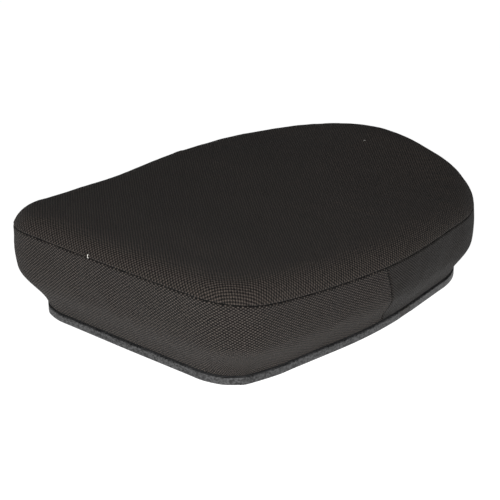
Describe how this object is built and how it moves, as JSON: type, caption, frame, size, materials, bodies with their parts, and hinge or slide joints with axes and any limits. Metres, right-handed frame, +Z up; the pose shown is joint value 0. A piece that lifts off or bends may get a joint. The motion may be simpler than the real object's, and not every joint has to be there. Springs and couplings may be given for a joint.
{
  "type": "booster seat",
  "caption": "Upholstered booster seat cushion: crowned fabric top, boxed tucked-in bands and a thin grey edge profile on a rigid base board with rubber feet.",
  "frame": {"origin": "under the middle of the object, on the surface that its feet rest on", "axes": "+Z up; +Y towards the broad rounded front under the thighs, -Y the narrow straight rear; +X to the sitter's right, and X = 0 is the plane of symmetry"},
  "size_m": [0.4206, 0.5119, 0.1396],
  "materials": {
    "top_fabric": "fine woven upholstery cloth, dark charcoal",
    "band_fabric": "coarse knitted upholstery cloth, dark charcoal",
    "seam_thread": "matt sewing thread, near black",
    "hem_cord": "plain extruded cord",
    "soft_foam": "soft open-cell foam",
    "core_foam": "moulded polyurethane foam",
    "base_plastic": "moulded, fine grain",
    "edge_plastic": "extruded, satin grey",
    "joiner_plastic": "moulded, matt",
    "zinc_steel": "zinc plated",
    "foot_rubber": "moulded, matt"
  },
  "bodies": {
    "root": {"top_panel": "top_fabric", "front_band": "band_fabric", "side_band": "band_fabric", "top_seam": "seam_thread", "upright_seam_right": "seam_thread", "upright_seam_left": "seam_thread", "hem_cord": "hem_cord", "foam_topper": "soft_foam", "foam_core": "core_foam", "base_board": "base_plastic", "front_edge_profile": "edge_plastic", "side_edge_profile": "edge_plastic", "profile_joiner_right": "joiner_plastic", "profile_joiner_left": "joiner_plastic", "profile_screw_1": "zinc_steel", "profile_screw_2": "zinc_steel", "profile_screw_3": "zinc_steel", "profile_screw_4": "zinc_steel", "profile_screw_5": "zinc_steel", "profile_screw_6": "zinc_steel", "profile_screw_7": "zinc_steel", "profile_screw_8": "zinc_steel", "insert_rear_right": "zinc_steel", "foot_rear_right": "foot_rubber", "foot_screw_rear_right": "zinc_steel", "insert_rear_left": "zinc_steel", "foot_rear_left": "foot_rubber", "foot_screw_rear_left": "zinc_steel", "insert_front_right": "zinc_steel", "foot_front_right": "foot_rubber", "foot_screw_front_right": "zinc_steel", "insert_front_left": "zinc_steel", "foot_front_left": "foot_rubber", "foot_screw_front_left": "zinc_steel"}
  },
  "joints": []
}
